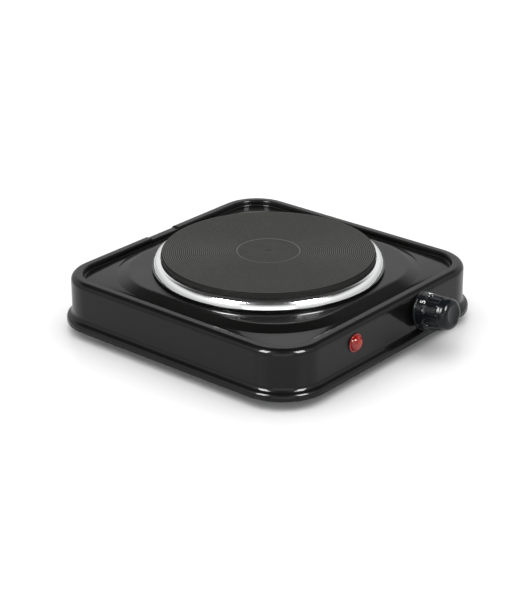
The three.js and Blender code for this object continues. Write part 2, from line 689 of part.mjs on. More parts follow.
addCasing();
addBurner();
addThermostat();
addControl();
addLamp();
addMains();
addWiring();

// The origin is the middle of the footprint box, on the table.
model.updateMatrixWorld(true);
const footprint = new THREE.Box3().setFromObject(model).getCenter(new THREE.Vector3());
product.position.set(-footprint.x, -footprint.y, 0);

export default model;
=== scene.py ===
"""Looks of a single-plate electric hot plate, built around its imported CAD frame.

Lengths are written in millimetres and turned into metres by MM. The plate's axis is vertical, the front wall with
the knob and the lamp faces -Y, and z = 0 is the table.
"""

import json
import math

import bmesh
import bpy
from mathutils import Matrix, Vector


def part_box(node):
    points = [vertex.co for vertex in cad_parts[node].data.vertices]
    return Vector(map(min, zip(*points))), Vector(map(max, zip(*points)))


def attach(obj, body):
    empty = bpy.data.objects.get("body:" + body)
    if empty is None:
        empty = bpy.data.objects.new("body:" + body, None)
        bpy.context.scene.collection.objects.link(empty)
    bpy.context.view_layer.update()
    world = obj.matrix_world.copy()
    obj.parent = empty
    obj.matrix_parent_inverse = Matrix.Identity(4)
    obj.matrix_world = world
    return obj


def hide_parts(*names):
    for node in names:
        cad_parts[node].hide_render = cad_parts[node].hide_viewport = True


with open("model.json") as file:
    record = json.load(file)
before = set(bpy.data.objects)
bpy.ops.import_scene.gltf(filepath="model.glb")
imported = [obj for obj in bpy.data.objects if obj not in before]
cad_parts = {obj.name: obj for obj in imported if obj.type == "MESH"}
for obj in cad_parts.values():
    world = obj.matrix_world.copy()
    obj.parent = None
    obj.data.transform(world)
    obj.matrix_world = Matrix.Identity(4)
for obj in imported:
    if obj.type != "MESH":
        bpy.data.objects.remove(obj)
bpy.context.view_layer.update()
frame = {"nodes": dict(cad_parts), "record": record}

MM = 0.001
plate_low, plate_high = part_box("heating_plate")
AXIS = Vector(((plate_low.x + plate_high.x) / 2, (plate_low.y + plate_high.y) / 2, 0))

# ---- sizes, in millimetres from the plate's axis and the table ------------------------------------------------
# casing
BODY_HALF = 110.2
BODY_CORNER = 32
CORNER_SPREAD = BODY_HALF - BODY_CORNER  # the wall corners' centres, from the axis
SHEET = 0.8
FLANGE_FOOT = 7
FLANGE_TOP = 11.1
WALL_FOOT = 13.3
FLANGE_REACH = 4.2
RIM_TOP = 42.5
RIM_FOOT = 39
RIM_WIDTH = 8.65
TRAY_TOP = 38
TRAY_STEPS = 5  # sections between the rim and the platform
PLATFORM_SPREAD = 35.2  # the platform corners' centres, from the axis
PLATFORM_RADIUS = 59.2  # of its corners, at its foot
PLATFORM_SLOPE = 7.2  # from its foot in to its top
PLATFORM_FOOT = 40.5
PLATFORM_TOP = 43.2
COLLAR_TOP = 43.8
COLLAR_RADIUS = 77.6
LIP_RADIUS = 73.6
NOTCH_X = (-14.9, 15.3)
NOTCH_EDGE = 0.35
NOTCH_DROP = 1.2
NOTCH_INSIDE = BODY_CORNER - 9  # the notch lowers the rim only from this corner radius outwards

# burner
PLATE_RADIUS = 77.5
PLATE_TOP = 55
PLATE_SIDE_FOOT = 45.3
PLATE_FOOT = 40
PLATE_FOOT_RADIUS = 71.8
CHANNEL_TOP = 47.5
CHANNEL_RADII = (57.5, 31.5)
CHANNEL_HALF = 4.6
HUB_RADIUS = 9
HUB_FOOT = 38
STUD_HOLE = (3.3, 49)  # radius, top
RECESS_RADII = (22.0, 22.7)  # the foot and the top of the recess's edge
RECESS_DEPTH = 0.4
GROOVE_FROM = 23.6
GROOVE_PITCH = 1.42
GROOVE_COUNT = 37
GROOVE_DEPTH = 0.28
RING_THICK = 0.7
RING_RADIUS = 84.0
RING_FOOT = 45.0
RING_BENDS = [(0.45, -35, 0), (2.1, 15, 24), (3.0, 24, 42), (1.8, 42, 75), (1.6, 75, 88)]  # length, lean in degrees
RING_NECK = 78.2
RING_LIP = (74.4, 44.9)  # the inner edge that the plate clamps: radius, top

# knob
KNOB_X = 35.4
KNOB_Z = 27.4
KNOB_TILT = math.radians(8.5)
KNOB_TURN = 5  # of the grips, in degrees
CONE_BACK = (13.5, 4.9)  # radius, distance out of the wall
CONE_FRONT = (12.0, 20.8)
FACE_OUT = 28.2
FACE_RADIUS = 7.6
SKIRT_RADIUS = 13.8
SKIRT_OUT = 2.5
BORE_RADIUS = 3.3
BORE_END = 19.1
GRIPS = 8
GRIP_AT = 17.4
GRIP_LENGTH = 14.8
GRIP_WIDTH = 6.8
GRIP_DEPTH = 0.75
GRIP_EDGE = 0.7
GRIP_LIP = 0.26
DIGIT_AT = 9.3
DIGIT_TALL = 4.1
DIGIT_WIDE = 3.6
DIGIT_SUNK = 0.08
DIGIT_THICK = 0.2
DIAL_STEP = 45  # degrees from number to number
FIVE_AT = -40  # the 5, clockwise from the top

# lamp, gland and feet
LAMP_X = -40.2
LAMP_Z = 29.3
LENS_RADIUS = 6.7
DOME_RADIUS = 5.6
DOME_FOOT = 1.2
DOME_TALL = 3.2
GLAND_Z = 24
GLAND_BORE = 3.4
KNOB_HOLE = 6
LAMP_HOLE = 5.3
GLAND_HOLE = 6
FOOT_AT = 83
FOOT_TOP = 9.7
FOOT_BORE = 2.4

# ---- tones of the cast iron, as shares of its base colour, with painted groove shade and a painted edge highlight ---
MIDDLE_TONE = 0.45
# painted highlight: a lighter ring along the recess's top edge
EDGE_HIGHLIGHT_TONE = 0.7
# painted shade in the groove floors, as a share of the base colour
GROOVE_SHADE = 0.12
SIDE_SHADE = 0.25


# ---- mesh helpers ------------------------------------------------------------------------------------------
def eased(points, step=9):
    """The line through (across, up, reach) points; each corner is an arc that starts `reach` before it."""
    line = []
    for i, (across, up, reach) in enumerate(points):
        corner = Vector((across, up))
        if not reach:
            line.append(corner)
            continue
        back = (Vector(points[i - 1][:2]) - corner).normalized()
        ahead = (Vector(points[(i + 1) % len(points)][:2]) - corner).normalized()
        half = back.angle(ahead) / 2
        middle = corner + (back + ahead).normalized() * reach / math.cos(half)
        start = corner + back * reach - middle
        end = corner + ahead * reach - middle
        sweep = math.copysign(start.angle(end), start.cross(end))
        count = max(2, math.ceil(math.degrees(abs(sweep)) / step))
        for k in range(count + 1):
            line.append(middle + Matrix.Rotation(sweep * k / count, 2) @ start)
    return line


def shown(name, data):
    """An object in the scene for a mesh, curve, light or camera."""
    thing = bpy.data.objects.new(name, data)
    bpy.context.scene.collection.objects.link(thing)
    return thing


def plain_object(name, vertices, faces):
    """A mesh object from vertices in metres in the row frame, with its faces turned outwards."""
    mesh = bpy.data.meshes.new(name)
    mesh.from_pydata([tuple(v) for v in vertices], [], faces)
    shape = bmesh.new()
    shape.from_mesh(mesh)
    bmesh.ops.remove_doubles(shape, verts=shape.verts, dist=1e-7)
    bmesh.ops.recalc_face_normals(shape, faces=shape.faces)
    shape.to_mesh(mesh)
    shape.free()
    return shown(name, mesh)


def finish_piece(piece, body, replaces, sharp):
    """Smooth shading with edges sharp from that angle, and the piece's place in the frame."""
    piece.data.shade_smooth()
    piece.data.set_sharp_from_angle(angle=math.radians(sharp))
    weighted = piece.modifiers.new("weighted", "WEIGHTED_NORMAL")
    weighted.keep_sharp = True
    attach(piece, body)
    if replaces:
        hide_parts(*replaces)


def add_piece(name, solid, body, slot, replaces, sharp, cutters=()):
    """A finished piece from a solid's (vertices, faces), in its slot's material, less the cutters."""
    piece = plain_object(name, *solid)
    piece.data.materials.append(MATERIALS[slot])
    if cutters:
        cut(piece, cutters)
    finish_piece(piece, body, replaces, sharp)


def lathed(profile, segments, place, closed=False):
    """Vertices and faces of a solid of revolution. place(radius, height, angle) gives a point in metres."""
    vertices = []
    rings = []
    for radius, height in profile:
        if radius < 1e-6:
            rings.append([len(vertices)] * segments)
            vertices.append(place(0, height, 0))
            continue
        rings.append(list(range(len(vertices), len(vertices) + segments)))
        for k in range(segments):
            vertices.append(place(radius, height, 2 * math.pi * k / segments))
    faces = []
    pairs = list(zip(rings, rings[1:] + rings[:1])) if closed else list(zip(rings, rings[1:]))
    for low, high in pairs:
        for k in range(segments):
            n = (k + 1) % segments
            corners = [low[k], low[n], high[n], high[k]]
            unique = list(dict.fromkeys(corners))
            if len(unique) > 2:
                faces.append(unique)
    return vertices, faces


def upright(centre_x=0, centre_y=0):
    """A place function for a vertical axis at a point given from the plate's axis."""

    def place(radius, height, angle):
        x = centre_x + radius * math.cos(angle)
        y = centre_y + radius * math.sin(angle)
        return AXIS + Vector((x, y, height)) * MM

    return place


def out_of_wall(x, z, outward):
    """A place function for an axis square to the front wall (outward -1) or the rear wall (+1)."""

    def place(radius, height, angle):
        across = x + radius * math.cos(angle)
        up = z + radius * math.sin(angle)
        return AXIS + Vector((across, outward * (BODY_HALF + height), up)) * MM

    return place


KNOB_FOOT = Vector((KNOB_X, -BODY_HALF, KNOB_Z))
KNOB_OUT = Vector((0, -math.cos(KNOB_TILT), math.sin(KNOB_TILT)))
KNOB_UP = Vector((0, math.sin(KNOB_TILT), math.cos(KNOB_TILT)))
KNOB_RIGHT = Vector((1, 0, 0))


def on_knob(radius, out, angle):
    """A point at a radius, a distance out of the wall and a clockwise angle from the top, seen from the front."""
    across = KNOB_RIGHT * math.sin(angle) + KNOB_UP * math.cos(angle)
    return AXIS + (KNOB_FOOT + KNOB_OUT * out + across * radius) * MM


def evaluated(piece):
    """The piece's mesh with its modifiers applied."""
    graph = bpy.context.evaluated_depsgraph_get()
    return bpy.data.meshes.new_from_object(piece.evaluated_get(graph), depsgraph=graph)


def cut(piece, cutters):
    """Cuts the cutters out of the piece's own mesh and removes them."""
    for cutter in cutters:
        boolean = piece.modifiers.new("cut", "BOOLEAN")
        boolean.operation = "DIFFERENCE"
        boolean.solver = "EXACT"
        boolean.object = cutter
    bpy.context.view_layer.update()
    mesh = evaluated(piece)
    piece.modifiers.clear()
    old = piece.data
    piece.data = mesh
    bpy.data.meshes.remove(old)
    for cutter in cutters:
        bpy.data.objects.remove(cutter)


# ---- materials ---------------------------------------------------------------------------------------------
class Finish:
    """A Principled material with procedural detail, in the object's own coordinates."""

    def __init__(self, name, base, roughness, metallic=0.0, **constants):
        self.material = bpy.data.materials.new(name)
        self.material.use_nodes = True
        self.tree = self.material.node_tree
        self.shader = self.tree.nodes["Principled BSDF"]
        self.shader.inputs["Base Color"].default_value = (*base, 1)
        self.shader.inputs["Roughness"].default_value = roughness
        self.shader.inputs["Metallic"].default_value = metallic
        for socket, value in constants.items():
            self.shader.inputs[socket.replace("_", " ")].default_value = value
        self.base = base
        self.roughness = roughness
        self.place = self.node("ShaderNodeTexCoord").outputs["Object"]
        self.bump_from = None

    def node(self, kind, **settings):
        made = self.tree.nodes.new(kind)
        for key, value in settings.items():
            setattr(made, key, value)
        return made

    def link(self, source, target):
        self.tree.links.new(source, target)

    def stretched(self, x, y, z):
        """The object's coordinates times x, y and z."""
        mapping = self.node("ShaderNodeMapping")
        mapping.inputs["Scale"].default_value = (x, y, z)
        self.link(self.place, mapping.inputs["Vector"])
        return mapping.outputs["Vector"]

    def noise(self, scale, detail, rough=0.55, place=None):
        """Noise between 0 and 1, with that many features to a metre."""
        made = self.node("ShaderNodeTexNoise", noise_dimensions="4D")
        made.inputs["Scale"].default_value = scale
        made.inputs["Detail"].default_value = detail
        made.inputs["Roughness"].default_value = rough
        made.inputs["W"].default_value = 0
        self.link(place or self.place, made.inputs["Vector"])
        return made.outputs["Fac"]

    def cells(self, scale):
        """Distance to the nearest of a set of scattered points."""
        made = self.node("ShaderNodeTexVoronoi", feature="F1")
        made.inputs["Scale"].default_value = scale
        self.link(self.place, made.inputs["Vector"])
        return made.outputs["Distance"]

    def ranged(self, source, low, high, to_low, to_high):
        """The source's low to high as to_low to to_high, and no further."""
        made = self.node("ShaderNodeMapRange")
        made.inputs["From Min"].default_value = low
        made.inputs["From Max"].default_value = high
        made.inputs["To Min"].default_value = to_low
        made.inputs["To Max"].default_value = to_high
        self.link(source, made.inputs["Value"])
        return made.outputs["Result"]

    def tinted(self, source, dark, light, low=0.3, high=0.7):
        """Base colour between dark and light, as multiples of the base."""
        made = self.node("ShaderNodeMix", data_type="RGBA")
        made.inputs[6].default_value = (*(c * dark for c in self.base), 1)
        made.inputs[7].default_value = (*(min(1, c * light) for c in self.base), 1)
        self.link(self.ranged(source, low, high, 0, 1), made.inputs[0])
        self.link(made.outputs[2], self.shader.inputs["Base Color"])
        return made.outputs[2]

    def maths(self, operation, first, second):
        """One operation on two values, each a number or a node's output."""
        made = self.node("ShaderNodeMath", operation=operation)
        for socket, value in zip(made.inputs, (first, second)):
            if isinstance(value, (int, float)):
                socket.default_value = value
            else:
                self.link(value, socket)
        return made.outputs[0]

    def distance_from(self, axis):
        """Distance in metres from a vertical axis."""
        apart = self.node("ShaderNodeSeparateXYZ")
        self.link(self.place, apart.inputs[0])
        x = self.maths("SUBTRACT", apart.outputs[0], axis.x)
        y = self.maths("SUBTRACT", apart.outputs[1], axis.y)
        squares = self.maths("ADD", self.maths("MULTIPLY", x, x), self.maths("MULTIPLY", y, y))
        return self.maths("SQRT", squares, 0)

    def wave_along(self, source, start, pitch):
        """0 at start and at every pitch after it, 1 half-way between."""
        turn = self.maths("MULTIPLY", self.maths("SUBTRACT", source, start), 2 * math.pi / pitch)
        return self.ranged(self.maths("COSINE", turn, 0), 1, -1, 0, 1)

    def darkened(self, colour, factor):
        """The base colour multiplied by a factor."""
        made = self.node("ShaderNodeMix", data_type="RGBA", blend_type="MULTIPLY")
        made.inputs[0].default_value = 1
        self.link(colour, made.inputs[6])
        self.link(factor, made.inputs[7])
        self.link(made.outputs[2], self.shader.inputs["Base Color"])

    def varied(self, source, spread, low=0.3, high=0.7):
        """Roughness between the base roughness minus and plus spread."""
        to = self.ranged(source, low, high, self.roughness - spread, self.roughness + spread)
        self.link(to, self.shader.inputs["Roughness"])

    def bumped(self, source, height):
        """Adds a bump of that height in metres to the bumps before it."""
        made = self.node("ShaderNodeBump")
        made.inputs["Strength"].default_value = 1
        made.inputs["Distance"].default_value = height
        self.link(source, made.inputs["Height"])
        if self.bump_from:
            self.link(self.bump_from, made.inputs["Normal"])
        self.bump_from = made.outputs["Normal"]
        self.link(self.bump_from, self.shader.inputs["Normal"])


def enamel():
    finish = Finish("black_enamel", (0.003, 0.003, 0.0028), 0.38, IOR=1.13, Coat_Weight=0.42, Coat_Roughness=0.03,
                    Coat_IOR=1.45)
    finish.varied(finish.noise(38, 4), 0.05)
    finish.tinted(finish.noise(22, 2), 0.9, 1.15)
    finish.bumped(finish.noise(170, 2), 0.00004)
    finish.bumped(finish.noise(1500, 2), 0.000004)
    return finish.material


def cast_iron():
    """Matt cast iron with painted shade in the grooves and a painted highlight ring at the recess's edge, darker in
    the plain middle and down the plate's side.
    """
    finish = Finish("cast_iron", (0.075, 0.076, 0.071), 0.5, Specular_IOR_Level=0.04)
    grain = finish.noise(1400, 5, 0.7)
    tone = finish.tinted(grain, 0.75, 1.3)
    radius = finish.distance_from(AXIS)
    groove_floor = finish.wave_along(radius, GROOVE_FROM * MM, GROOVE_PITCH * MM)
    grooved = finish.ranged(radius, GROOVE_FROM * MM, (GROOVE_FROM + 0.1) * MM, 0, 1)
    # painted shade: the groove floors darkened to GROOVE_SHADE of the base colour, the ridges at full tone
    shade = finish.maths("MULTIPLY", grooved, finish.ranged(groove_floor, 0, 1, 1, GROOVE_SHADE))
    shade = finish.maths("ADD", shade, finish.ranged(grooved, 0, 1, MIDDLE_TONE, 0))
    foot, top = RECESS_RADII
    # painted highlight: a lighter ring of base colour along the recess's top edge
    edge = finish.maths("MULTIPLY", finish.ranged(radius, foot * MM, (foot + 0.5) * MM, 0, 1),
                        finish.ranged(radius, (top + 0.2) * MM, (top + 0.7) * MM, EDGE_HIGHLIGHT_TONE, 0))
    shade = finish.maths("ADD", shade, edge)
    side = finish.ranged(radius, (PLATE_RADIUS - 1.3) * MM, (PLATE_RADIUS - 0.4) * MM, 1, SIDE_SHADE)
    finish.darkened(tone, finish.maths("MULTIPLY", shade, side))
    finish.varied(finish.noise(60, 4), 0.07)
    finish.bumped(grain, 0.00004)
    return finish.material


def chrome():
    finish = Finish("chrome", (0.74, 0.745, 0.75), 0.13, 1.0)
    finish.varied(finish.noise(90, 5, 0.6), 0.035)
    finish.bumped(finish.noise(60, 3), 0.00003)
    return finish.material


def knob_plastic():
    finish = Finish("black_knob", (0.004, 0.0055, 0.0065), 0.2, IOR=1.29)
    finish.varied(finish.noise(300, 4), 0.03)
    finish.tinted(finish.noise(120, 3), 0.85, 1.2)
    finish.bumped(finish.noise(1800, 3), 0.000008)
    return finish.material


def dial_paint():
    finish = Finish("dial_paint", (0.78, 0.79, 0.78), 0.45)
    finish.tinted(finish.noise(900, 3), 0.85, 1.1)
    finish.bumped(finish.noise(2500, 2), 0.00001)
    return finish.material


def red_lens():
    finish = Finish("red_lens", (0.6, 0.026, 0.012), 0.06, IOR=1.49, Transmission_Weight=0.75)
    finish.tinted(finish.noise(150, 2), 0.85, 1.15)
    finish.bumped(finish.noise(400, 2), 0.00001)
    return finish.material


def zinc_steel():
    finish = Finish("zinc_steel", (0.5, 0.51, 0.52), 0.36, 0.9)
    spangle = finish.cells(160)
    finish.tinted(spangle, 0.75, 1.15, 0.0, 0.9)
    finish.varied(finish.noise(220, 4), 0.09)
    finish.bumped(finish.noise(900, 4), 0.00002)
    return finish.material


def spring_steel():
    finish = Finish("spring_steel", (0.4, 0.41, 0.42), 0.3, 1.0)
    brushed = finish.noise(900, 3, 0.6, finish.stretched(0.06, 1, 1))
    finish.tinted(brushed, 0.8, 1.2)
    finish.varied(brushed, 0.1)
    finish.bumped(brushed, 0.00001)
    return finish.material


def brass():
    finish = Finish("brass", (0.6, 0.42, 0.16), 0.28, 1.0)
    tarnish = finish.noise(180, 5, 0.65)
    finish.tinted(tarnish, 0.7, 1.15)
    finish.varied(tarnish, 0.09)
    finish.bumped(finish.noise(1500, 2), 0.00001)
    return finish.material


def steatite():
    finish = Finish("steatite", (0.76, 0.72, 0.63), 0.55)
    grain = finish.noise(1200, 4, 0.7)
    finish.tinted(grain, 0.85, 1.08)
    finish.varied(finish.noise(300, 3), 0.08)
    finish.bumped(grain, 0.00004)
    return finish.material


def mineral_board():
    finish = Finish("mineral_board", (0.42, 0.39, 0.32), 0.95)
    fibre = finish.noise(600, 6, 0.75, finish.stretched(1, 0.25, 1))
    finish.tinted(fibre, 0.6, 1.25)
    finish.bumped(fibre, 0.0002)
    return finish.material


def coil_sheath():
    finish = Finish("coil_sheath", (0.13, 0.115, 0.1), 0.5, 0.8)
    scale = finish.noise(500, 5, 0.7)
    finish.tinted(scale, 0.5, 1.5)
    finish.varied(scale, 0.12)
    finish.bumped(scale, 0.00005)
    return finish.material


def rubber(name, base, roughness=0.78):
    finish = Finish(name, base, roughness)
    grain = finish.noise(1600, 4, 0.7)
    finish.tinted(finish.noise(200, 4), 0.8, 1.35)
    finish.varied(grain, 0.08)
    finish.bumped(grain, 0.00004)
    return finish.material


def white_nylon():
    finish = Finish("white_nylon", (0.78, 0.77, 0.72), 0.45, Subsurface_Weight=0.15)
    finish.shader.inputs["Subsurface Scale"].default_value = 0.002
    finish.tinted(finish.noise(250, 3), 0.9, 1.06)
    finish.varied(finish.noise(500, 3), 0.08)
    finish.bumped(finish.noise(1100, 3), 0.00002)
    return finish.material


def bulb_glass():
    finish = Finish("bulb_glass", (0.95, 0.85, 0.74), 0.04, IOR=1.5, Transmission_Weight=0.9)
    finish.tinted(finish.noise(300, 2), 0.9, 1.05)
    finish.bumped(finish.noise(400, 2), 0.00002)
    return finish.material


def woven_sleeve():
    finish = Finish("white_sleeve", (0.7, 0.67, 0.58), 0.8)
    weave = finish.node("ShaderNodeTexWave", wave_type="BANDS", bands_direction="DIAGONAL")
    weave.inputs["Scale"].default_value = 420
    weave.inputs["Distortion"].default_value = 1.5
    finish.link(finish.place, weave.inputs["Vector"])
    finish.tinted(weave.outputs["Fac"], 0.75, 1.1, 0.1, 0.9)
    finish.bumped(weave.outputs["Fac"], 0.0001)
    return finish.material


MATERIALS = {
    "black_enamel": enamel(),
    "cast_iron": cast_iron(),
    "chrome": chrome(),
    "black_knob": knob_plastic(),
    "red_lens": red_lens(),
    "zinc_steel": zinc_steel(),
    "spring_steel": spring_steel(),
    "brass": brass(),
    "steatite": steatite(),
    "mineral_board": mineral_board(),
    "coil_sheath": coil_sheath(),
    "black_rubber": rubber("black_rubber", (0.018, 0.018, 0.018)),
    "white_nylon": white_nylon(),
    "bulb_glass": bulb_glass(),
    "brown_sleeve": rubber("brown_sleeve", (0.11, 0.05, 0.025), 0.55),
    "blue_sleeve": rubber("blue_sleeve", (0.025, 0.08, 0.28), 0.55),
    "green_sleeve": rubber("green_sleeve", (0.1, 0.27, 0.04), 0.55),
    "white_sleeve": woven_sleeve(),
}

for subpart in frame["record"]["subparts"]:
    node = frame["nodes"][subpart["node"]]
    node.data.materials.clear()
    node.data.materials.append(MATERIALS[subpart["material_slot"]])


# ---- casing ------------------------------------------------------------------------------------------------
def loop_of_points():
    """Round the casing: (u, v) times the corners' spread plus (dx, dy) times a corner radius is a point."""
    ends = [-1, -0.9, -0.75, -0.55, -0.35]
    plain = ends + [-0.1, 0.1] + [-t for t in reversed(ends)]
    left, right = NOTCH_X
    notch = [left - 2, left, left + NOTCH_EDGE, left + 2, right - 2, right - NOTCH_EDGE, right, right + 2]
    rear = ends + [x / CORNER_SPREAD for x in notch] + [-t for t in reversed(ends)]
    points = []
    for quarter in range(4):
        angle = quarter * math.pi / 2
        dx, dy = round(math.cos(angle)), round(math.sin(angle))
        along = [-t for t in reversed(rear)] if quarter == 1 else plain
        for t in along:
            points.append((dx - dy * t, dy + dx * t, dx, dy))
        arc_steps = 26
        for k in range(1, arc_steps):
            turn = angle + k * math.pi / 2 / arc_steps
            points.append((dx - dy, dy + dx, math.cos(turn), math.sin(turn)))
    return points


LOOP = loop_of_points()


def casing_point(spread, radius, height, place):
    """One point of a casing ring, in metres; a spread of 0 gives a circle."""
    u, v, dx, dy = place
    if spread:
        point = Vector((u * spread + dx * radius, v * spread + dy * radius, height))
    else:
        point = Vector((u * PLATFORM_SPREAD + dx * PLATFORM_RADIUS, v * PLATFORM_SPREAD + dy * PLATFORM_RADIUS, 0))
        point = point.normalized() * radius + Vector((0, 0, height))
    in_notch = dy == 1 and NOTCH_X[0] + 0.01 < u * CORNER_SPREAD < NOTCH_X[1] - 0.01
    if spread == CORNER_SPREAD and in_notch and height > RIM_FOOT and radius > NOTCH_INSIDE:
        point.z -= NOTCH_DROP * (height - RIM_FOOT) / (RIM_TOP - RIM_FOOT)
    return AXIS + point * MM


def casing_sections():
    """The outer skin from the flange's lower edge to the plate hole, as (corner spread, [(radius, height)])."""
    flange = BODY_CORNER + FLANGE_REACH
    wall = eased([
        (flange, FLANGE_FOOT, 0), (flange, FLANGE_TOP, 1.9), (BODY_CORNER, WALL_FOOT, 2.6),
        (BODY_CORNER, RIM_TOP, 4.6), (BODY_CORNER - RIM_WIDTH, RIM_TOP, 1.1), (BODY_CORNER - 9.3, TRAY_TOP, 1.0),
        (BODY_CORNER - 10.6, TRAY_TOP + 0.1, 0),
    ])
    platform_edge = PLATFORM_RADIUS - PLATFORM_SLOPE
    platform = eased([
        (PLATFORM_RADIUS + 1.2, PLATFORM_FOOT - 0.55, 0), (PLATFORM_RADIUS, PLATFORM_FOOT, 1.0),
        (platform_edge, PLATFORM_TOP, 1.4), (platform_edge - 2.8, PLATFORM_TOP, 0),
    ])
    collar = eased([
        (COLLAR_RADIUS + 5, PLATFORM_TOP, 0), (COLLAR_RADIUS + 2, PLATFORM_TOP, 0.8),
        (COLLAR_RADIUS, COLLAR_TOP, 0.8), (LIP_RADIUS, COLLAR_TOP, 0),
    ])
    tray = []  # two points to a section, one after the other down the slope, which gives inside() its direction
    start, end = wall[-1], platform[0]
    for k in range(1, TRAY_STEPS):
        middle = start.lerp(end, k / TRAY_STEPS)
        along = (end - start) / (8 * TRAY_STEPS)
        spread = CORNER_SPREAD + (PLATFORM_SPREAD - CORNER_SPREAD) * k / TRAY_STEPS
        sideways = Vector(((start.x + CORNER_SPREAD - end.x - PLATFORM_SPREAD) / (8 * TRAY_STEPS), -along.y))
        tray.append((spread, [middle + sideways, middle - sideways]))
    return [(CORNER_SPREAD, wall), *tray, (PLATFORM_SPREAD, platform), (0, collar)]


def inside(line):
    """The line moved one sheet thickness to its right, which is into the metal."""
    moved = []
    for i, point in enumerate(line):
        before = line[max(i - 1, 0)]
        after = line[min(i + 1, len(line) - 1)]
        along = (after - before).normalized()
        moved.append(point + Vector((-along.y, along.x)) * SHEET)
    return moved


def top_casing():
    """The pressed casing as one closed skin, with the holes in its front and rear walls."""
    rings = []
    for spread, line in casing_sections():
        rings += [(spread, p.x, p.y) for p in line]
    for spread, line in reversed(casing_sections()):
        rings += [(spread, p.x, p.y) for p in reversed(inside(line))]
    vertices = [casing_point(*ring, place) for ring in rings for place in LOOP]
    count = len(LOOP)
    faces = []
    for i in range(len(rings)):
        after = (i + 1) % len(rings)
        for j in range(count):
            n = (j + 1) % count
            faces.append((i * count + j, i * count + n, after * count + n, after * count + j))
    wall_holes = [
        (KNOB_HOLE, out_of_wall(KNOB_X, KNOB_Z, -1)),
        (LAMP_HOLE, out_of_wall(LAMP_X, LAMP_Z, -1)),
        (GLAND_HOLE, out_of_wall(0, GLAND_Z, 1)),
    ]
    through = 4
    cutters = []
    for radius, place in wall_holes:
        rod = [(0, -through), (radius, -through), (radius, through), (0, through)]
        cutters.append(plain_object("hole", *lathed(rod, 64, place)))
    add_piece("casing_shell", (vertices, faces), "root", "black_enamel", ["top_casing"], 32, cutters)


top_casing()


# ---- burner ------------------------------------------------------------------------------------------------
def plate_top_line():
    """The plate's top from its middle to its edge: dimple, plain recess, then fine grooves."""
    recess = PLATE_TOP - RECESS_DEPTH
    foot, top = RECESS_RADII
    line = [Vector((0, recess - 0.6)), Vector((1.2, recess - 0.53)), Vector((2.2, recess - 0.3))]
    line += eased([(2.6, recess - 0.15, 0), (3.1, recess, 0.25), (foot, recess, 0.25), (top, PLATE_TOP, 0.2),
                   (GROOVE_FROM, PLATE_TOP, 0)])
    steps = 6
    for groove in range(GROOVE_COUNT):
        for k in range(1, steps + 1):
            share = k / steps
            depth = GROOVE_DEPTH * math.sin(math.pi * share) ** 1.5
            line.append(Vector((GROOVE_FROM + (groove + share) * GROOVE_PITCH, PLATE_TOP - depth)))
    return line


def heating_plate():
    """The plate, with the channels for its coils and the hub for its stud underneath."""
    line = plate_top_line()
    line += eased([
        (line[-1].x + 0.2, PLATE_TOP, 0), (PLATE_RADIUS, PLATE_TOP, 1.1), (PLATE_RADIUS, PLATE_SIDE_FOOT, 0.4),
        (PLATE_FOOT_RADIUS, PLATE_SIDE_FOOT, 0), (PLATE_FOOT_RADIUS, PLATE_FOOT, 0),
    ])
    for radius in CHANNEL_RADII:
        outer, inner = radius + CHANNEL_HALF, radius - CHANNEL_HALF
        line += [Vector(p) for p in ((outer, PLATE_FOOT), (outer, CHANNEL_TOP), (inner, CHANNEL_TOP),
                                     (inner, PLATE_FOOT))]
    hole_radius, hole_top = STUD_HOLE
    line += [Vector(p) for p in ((HUB_RADIUS, PLATE_FOOT), (HUB_RADIUS, HUB_FOOT), (hole_radius, HUB_FOOT),
                                 (hole_radius, hole_top), (0, hole_top))]
    add_piece("cast_iron_plate", lathed(line, 256, upright()), "root", "cast_iron", ["heating_plate"], 50)


def trim_ring():
    """The spill ring: a domed skirt, a neck beside the plate and the lip that the plate clamps."""
    outer = []
    inner = []
    point = Vector((RING_RADIUS, RING_FOOT))
    longest_step = 0.35
    for length, first, last in RING_BENDS:
        steps = math.ceil(length / longest_step)
        for k in range(steps):
            lean = math.radians(first + (last - first) * (k + 0.5) / steps)
            outer.append(point.copy())
            inner.append(point - Vector((math.cos(lean), math.sin(lean))) * RING_THICK)
            point += Vector((-math.sin(lean), math.cos(lean))) * length / steps
    top = point.y
    edge = eased([
        (RING_RADIUS - RING_THICK, RING_FOOT + 0.15, 0), (RING_RADIUS - 0.65, RING_FOOT - 0.2, 0.15),
        (RING_RADIUS - 0.05, RING_FOOT - 0.2, 0.15), (RING_RADIUS, RING_FOOT - 0.02, 0),
    ])
    lip_radius, lip_top = RING_LIP
    lip_foot, neck_back = lip_top - RING_THICK, RING_NECK + RING_THICK
    root = [Vector(p) for p in ((RING_NECK, top), (RING_NECK, lip_top), (lip_radius, lip_top),
                                (lip_radius, lip_foot), (neck_back, lip_foot), (neck_back, top - RING_THICK))]
    line = edge + outer + [point] + root + [p for p in reversed(inner) if p.x > neck_back + 0.2]
    add_piece("chrome_trim_ring", lathed(line, 192, upright(), closed=True), "root", "chrome", ["trim_ring"], 40)


heating_plate()
trim_ring()


# ---- knob --------------------------------------------------------------------------------------------------
def grip_depth(angle, out, radius):
    """How deep the knob's side is pressed in at a place: rounded slots along the cone."""
    pitch = 360 / GRIPS
    turn = (math.degrees(angle) - KNOB_TURN) % pitch - pitch / 2
    across = math.radians(turn) * radius
    along = max(0, abs(out - GRIP_AT) - (GRIP_LENGTH - GRIP_WIDTH) / 2)
    inside_by = GRIP_WIDTH / 2 - math.hypot(across, along)
    share = min(1, max(0, inside_by / GRIP_EDGE))
    beside = min(1, abs(inside_by) / GRIP_EDGE)
    lip = GRIP_LIP * (1 - beside * beside) ** 2 if inside_by < 0 else GRIP_LIP * (1 - share * share) ** 2
    return GRIP_DEPTH * share * share * (3 - 2 * share) - lip


